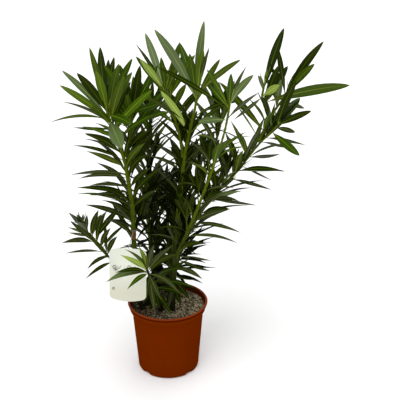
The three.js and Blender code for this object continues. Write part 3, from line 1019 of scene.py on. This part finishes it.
leaf_owners = {
    "left_stem": ["left_upper_leaves", "left_lower_leaves"],
    "left_front_bough": ["left_front_tuft", "left_fork_leaves"],
    "left_back_bough": ["left_back_tuft"],
    "middle_stem": ["middle_tuft", "middle_upper_leaves", "middle_centre_leaves", "middle_lower_leaves"],
    "middle_side_bough": ["middle_side_tuft"],
    "front_stem": ["front_tuft", "front_upper_leaves", "front_centre_leaves", "front_lower_leaves"],
    "right_stem": ["right_node_tuft", "right_upper_leaves", "right_lower_leaves"],
    "right_top_bough": ["right_top_tuft"],
    "right_inner_bough": ["right_inner_tuft"],
    "low_left_shoot": ["low_left_tuft", "low_left_leaves"],
    "low_front_shoot": ["low_front_tuft"],
    "back_left_stem": ["back_left_tuft", "back_left_leaves"],
    "back_right_stem": ["back_right_tuft", "back_right_leaves"],
    "back_low_shoot": ["back_low_tuft"],
}


def metres(millimetres):
    return millimetres / 1000


def mixed(low, high, share):
    """Goes from low to high as the share goes from 0 to 1."""
    return low + (high - low) * min(1.0, max(0.0, share))


def leaf_base(shoot, height, compass):
    """A leaf stalk starts just under the bark, on the side it points to."""
    out = outward(radians(compass))
    return shoot.at(height) + out * shoot.radius(min(height, shoot.tip)) * 0.5


light_side = Vector((0.0, -0.93, 0.37))


def roll_to_light(compass, rise, share):
    """How far a leaf twists on its stalk, in degrees, to turn one face some way to the light."""
    forward = LeafSpray.direction(compass, rise, 0, 0, 0.5)
    left = Vector((-sin(radians(compass)), cos(radians(compass)), 0))
    up = forward.cross(left)
    full = degrees(atan2(-light_side.dot(left), light_side.dot(up)))
    if abs(full) > 90:
        full -= copysign(180, full)
    return full * share


crown_lean = 0.10
tuft_depth = 0.060
bud_depth = 0.004
leaf_middle = 0.06
# Painted shade: how near the crown's core and how low a leaf grows before its tone darkens
dark_core = 0.03
core_edge = 0.15
dark_height = 0.34
dark_climb = 0.40


def tone_for(shoot, height, compass):
    """Leaves are fresh at a shoot's tip; older leaves lower down and nearer the crown's core take darker
    tones, painted shade of the crown's inside.
    """
    from_tip = shoot.left_above(height)
    if from_tip < bud_depth and not shoot.shaded:
        return dice.choice(("fresh", "fresh", "bright"))
    if from_tip < tuft_depth:
        if shoot.shaded:
            return dice.choice(("dark", "dull", "dark"))
        # Painted sheen: on the right of the crown some tuft leaves take the grey sheen tone.
        sheen_on_right = "silver" if shoot.middles[-1].x > 0 else "green"
        return dice.choice(("bright", "green", sheen_on_right, "dark", "olive"))
    # Painted shade: the nearer a leaf lies to the crown's core and the lower it grows, the darker its tone,
    # down to a nearly black one.
    out = outward(radians(compass)) + Vector((0, 0, 0.4))
    middle = shoot.at(height) + out * leaf_middle
    aside = hypot(middle.x - crown_lean * (height - compost_top), middle.y)
    share = (aside - dark_core) / core_edge + (height - dark_height) / dark_climb + dice.uniform(-0.15, 0.15)
    if share < 0.45:
        return "deep"
    if share < 0.95:
        return dice.choice(("dark", "dark", "dull"))
    return dice.choice(("dull", "dark", "olive", "green"))


slim_below = 0.575
low_leaves = 0.30
front_lift = 18  # degrees
tuft_rise = (42, 72)
crown_rise = (46, 20)


def leaf_habit(shoot, height, compass):
    """Rise, length, width, bend and whether it is slim, for a leaf of a shoot by its place on it."""
    from_tip = shoot.left_above(height)
    if from_tip < tuft_depth:
        youth = 1 - from_tip / tuft_depth
        rise = mixed(*tuft_rise, youth) + dice.uniform(-9, 9)
        length = dice.uniform(0.100, 0.132) * mixed(1.5, 0.75, youth + 0.5 if youth > 0.8 else 0.67)
        return rise, length, length * dice.uniform(0.125, 0.15), dice.uniform(2, 9), False
    place = shoot.at(height)
    away = degrees(atan2(place.y, place.x - crown_lean * (height - compost_top)))
    open_side = 1 - turn_between(compass, away) / 180
    if height > low_leaves:
        rise = mixed(*crown_rise, open_side) + dice.uniform(-12, 12)
        if turn_between(compass, 270) < 45:
            rise += front_lift
        length = dice.uniform(0.100, 0.128)
        width = dice.uniform(0.0095, 0.0128)
        return rise, length, width, dice.uniform(12, 26), height < slim_below
    rise = dice.uniform(-10, 28)
    return rise, dice.uniform(0.080, 0.108), dice.uniform(0.009, 0.012), dice.uniform(10, 22), True


# Share of leaves kept in a limb's tuft and below it, and the size of its leaves
vigour = {
    "left_stem": (1.0, 0.95, 1.0), "left_front_bough": (0.65, 0.9, 1.0),
    "left_back_bough": (0.6, 0.8, 0.95), "middle_stem": (0.3, 0.62, 0.95),
    "middle_side_bough": (0.4, 0.6, 0.9), "front_stem": (0.15, 0.55, 0.72),
    "right_stem": (0.3, 1.0, 0.95), "right_top_bough": (0.2, 0.6, 0.75),
    "right_inner_bough": (0.05, 0.6, 0.75), "low_left_shoot": (0.1, 0.5, 0.75),
    "low_front_shoot": (0.15, 0.6, 0.7), "back_left_stem": (0.8, 1.0, 1.0),
    "back_right_stem": (0.7, 0.9, 0.95), "back_low_shoot": (1.0, 1.0, 0.95)}

# Share of whorls that are bare on their front side below the tuft
sparse_front = {"left_stem": 0.55, "middle_stem": 0.9, "front_stem": 0.6, "right_stem": 0.1}
behind = 0.03
room_above = 0.012
room_aside = 36  # degrees


def grow_whorls(spray, shoot, lowest, turn, standing, strength, front_gap=0.0):
    """Clothes a shoot in whorls of three, leaving room for the leaves that are listed."""
    tuft_share, lower_share, size = strength
    for index, height in enumerate(whorl_heights(shoot, lowest)):
        for k in range(3):
            compass = turn + index * 60 + k * 120 + dice.uniform(-14, 14)
            rise, length, width, bend, slim = leaf_habit(shoot, height, compass)
            tone = tone_for(shoot, height, compass)
            facing = 0.3 if shoot.middles[0].y > behind else 1.0
            share = facing * (dice.uniform(0.1, 0.5) if slim else dice.uniform(0.3, 0.8))
            roll = roll_to_light(compass, rise, share)
            sweep = dice.uniform(-6, 6)
            in_tuft = shoot.left_above(height) < tuft_depth
            shed = dice.random() > (tuft_share if in_tuft else lower_share)
            if dice.random() < front_gap and turn_between(compass, 270) < 38:
                shed = shed or not in_tuft
            taken = any(
                abs(height - metres(leaf[0])) < room_above and turn_between(compass, leaf[1]) < room_aside
                for leaf in standing)
            if not taken and not shed:
                spray.add(leaf_base(shoot, height, compass), compass, rise, length * size,
                          width * size ** 0.5, tone, bend, sweep, roll, slim)


def grow_tip(spray, shoot, turn):
    """The bud: a few narrow new leaves, nearly upright."""
    tone = "dull" if shoot.shaded else "fresh"
    for k in range(3):
        compass = turn + k * 137
        spray.add(leaf_base(shoot, shoot.tip + 0.004, compass), compass, dice.uniform(66, 82),
                  dice.uniform(0.024, 0.040), dice.uniform(0.004, 0.006), tone, bend=-5)


twig_leaf_size = 0.66
twig_bare = 0.018
clasping_stem = "right_stem"
clasping_low = 0.36
clasping_high = 0.585
clasping_gap = 0.013
slender_leaf = 0.011


def grow_clasping(spray, shoot):
    """Short leaves that lie along a leaning stem, on its upper side."""
    height = clasping_low
    while height < clasping_high:
        for compass in (dice.uniform(-30, 10), dice.uniform(20, 80)):
            spray.add(leaf_base(shoot, height, compass), compass, dice.uniform(42, 62),
                      dice.uniform(0.055, 0.085), dice.uniform(0.008, 0.011),
                      dice.choice(("dark", "olive", "dull")), bend=dice.uniform(4, 14), slim=True)
        height += clasping_gap


for name in habits:
    shoot = shoots[name]
    lowest, turn = habits[name]
    standing = standing_leaves.get(name, [])
    spray = LeafSpray()
    for height, compass, rise, length, width, tone in standing:
        height, length, width = map(metres, (height, length, width))
        slim = height < slim_below or width < slender_leaf
        bend = dice.uniform(5, 24) if slim else dice.uniform(3, 9)
        if slim and rise < 0:
            bend = dice.uniform(-7, 5)
        share = dice.uniform(0.35, 0.7) if slim else dice.uniform(0.8, 1.0)
        spray.add(leaf_base(shoot, height, compass), compass, rise, length, width, tone,
                  bend, dice.uniform(-4, 4), roll_to_light(compass, rise, share), slim)
    grow_whorls(spray, shoot, lowest, turn, standing, vigour[name], sparse_front.get(name, 0.0))
    if not shoot.forks:
        grow_tip(spray, shoot, turn)
    if name == clasping_stem:
        grow_clasping(spray, shoot)
    for twig in twigs.get(name, []):
        grow_whorls(spray, twig, twig.foot + twig_bare, turn, [], (1.0, 1.0, twig_leaf_size))
    leaves = make_mesh(name + "_foliage", spray.points, spray.faces, leaf_finishes, spray.picks, crease=45)
    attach(leaves, "root")
    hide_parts(*leaf_owners[name])


# ---- Care label ----
# A printed card of cream plastic, 84 by 124 mm, that leans on the foliage by the left stem.
# Its lower corners are rounded, and a thin grey tie runs from its neck round the stem.
# Rings, ticks and bars stand for the print, and say nothing.

label_low, label_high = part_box("care_label")
label_half = 0.042
label_drop = 0.124
label_shoulder = 0.010
label_neck = 0.58
label_corner = 0.013
label_bulge = 0.04
label_sheet = 0.0008
label_curl = 0.0035
label_hang = 0.004
label_lean = radians(8)
label_turn = radians(-6)
label_top = Vector(((label_low.x + label_high.x) / 2 + 0.001, label_high.y - 0.0040, label_high.z - 0.0004))


def label_place(across, down, out):
    """A place on the card: metres to the right of its middle, below its top and out from its face."""
    curl = label_curl * (across / label_half) ** 2 + label_hang * (down / label_drop) ** 3
    forward = -down * sin(label_lean) - (out + curl) * cos(label_lean)
    height = -down * cos(label_lean) + out * sin(label_lean)
    x = across * cos(label_turn) - forward * sin(label_turn)
    y = across * sin(label_turn) + forward * cos(label_turn)
    return label_top + Vector((x, y, height))


def label_width(down):
    """Half the card's width at a distance below its top."""
    if down < label_shoulder:
        rise = sqrt(max(0.0, 1 - (1 - down / label_shoulder) ** 2))
        return label_half * (label_neck + (1 - label_neck) * rise)
    below = down - (label_drop - label_corner)
    if below > 0:
        return label_half - label_corner * (1 - sqrt(max(0.0, 1 - (below / label_corner) ** 2)))
    return label_half


label_cuts = [label_shoulder * i / 6 for i in range(6)]
label_cuts += [mixed(label_shoulder, label_drop - label_corner, i / 14) for i in range(14)]
label_cuts += [label_drop - label_corner * (1 - sin(pi / 2 * i / 8)) for i in range(9)]


def label_grid(out):
    """The card in rows; its middle hangs lower than its sides."""
    grid = []
    for down in label_cuts:
        row = []
        for k in range(17):
            side = k / 8 - 1
            sag = 1 - label_bulge * side ** 2 * down / label_drop
            row.append(label_place(label_width(down) * side, down * sag, out))
        grid.append(row)
    return grid


card, wire = new_finish("cream_card", srgb(226, 229, 210), 0.4, Specular_IOR_Level=0.3)
# Painted shadow: the lower part of the card is darker, where the leaves in front shade it.
wire.along(2).rises(0.24, 0.31).between(srgb(208, 207, 189), srgb(231, 234, 220)).feed("Base Color")
grain = wire.clouds(700.0, 2.0)
(grain * 0.15 + 0.38).feed("Roughness")
grain.bump(0.1, 0.0002).feed("Normal")
points = []
faces = []
add_sheet(points, faces, label_grid(label_sheet), label_grid(0.0))
label = make_mesh("blank_label", points, faces, [card], crease=50)
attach(label, "root")
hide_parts("care_label")

ink = grainy_finish("grey_ink", srgb(56, 64, 54), 0.6, 800.0, 0.1, 0.0002, Specular_IOR_Level=0.2)
mark_line = 0.0008
mark_row = 0.044
mark_start = -0.031
mark_step = 0.0112
mark_half = 0.0038
ring_radius = 0.0035
foot_drop = 0.0052
tick_drop = 0.0036
bar_half = 0.0040


def stroke(corners):
    """A printed line through a few corners, given across and down the card."""
    return [label_place(across, down, label_sheet) for across, down in corners]


def ring_mark(across, down, radius):
    turns = [tau * k / 12 for k in range(13)]
    return stroke([(across + radius * cos(t), down + radius * sin(t)) for t in turns])


points = []
faces = []
for i in range(6):
    across = mark_start + mark_step * i
    if i % 3 == 0:
        add_strand(points, faces, ring_mark(across, mark_row, ring_radius), mark_line)
        foot = [(across - mark_half, mark_row + foot_drop), (across + mark_half, mark_row + foot_drop)]
        add_strand(points, faces, stroke(foot), mark_line)
    elif i % 3 == 1:
        tick = [(across - mark_half, mark_row - 0.001), (across, mark_row + tick_drop),
                (across + 0.0044, mark_row - tick_drop)]
        add_strand(points, faces, stroke(tick), mark_line)
    else:
        bar = [(across, mark_row - bar_half), (across, mark_row + bar_half)]
        add_strand(points, faces, stroke(bar), mark_line)
add_strand(points, faces, ring_mark(-0.033, 0.094, 0.0024), mark_line)
marks = make_mesh("label_marks", points, faces, [ink], crease=60)
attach(marks, "root")

tie_height = 0.364
tie_radius = 0.0008
tie_gap = 0.0014
tie_tilt = 0.02
tie_sag = 0.002
stem = shoots["left_stem"]
hoop_radius = stem.radius(tie_height) + tie_gap
hoop_middle = stem.at(tie_height)
turns = [radians(270 + 360 * k / 20) for k in range(21)]
hoop = [hoop_middle + hoop_radius * Vector((cos(t), sin(t), tie_tilt * sin(t))) for t in turns]
neck = label_place(0, 0.003, label_sheet / 2)
tail = []
for i in range(9):
    sag = Vector((0, 0, tie_sag * sin(pi * i / 8)))
    tail.append(hoop[0].lerp(neck, i / 8) - sag)
points = []
faces = []
add_strand(points, faces, hoop, tie_radius, sides=8)
add_strand(points, faces, tail, tie_radius, sides=8)
grey_tie = grainy_finish(
    "grey_plastic_tie", srgb(150, 154, 146), 0.45, 300.0, 0.1, 0.0003, Specular_IOR_Level=0.3)
tie = make_mesh("label_tie", points, faces, [grey_tie], crease=60)
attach(tie, "root")
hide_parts("label_strap")
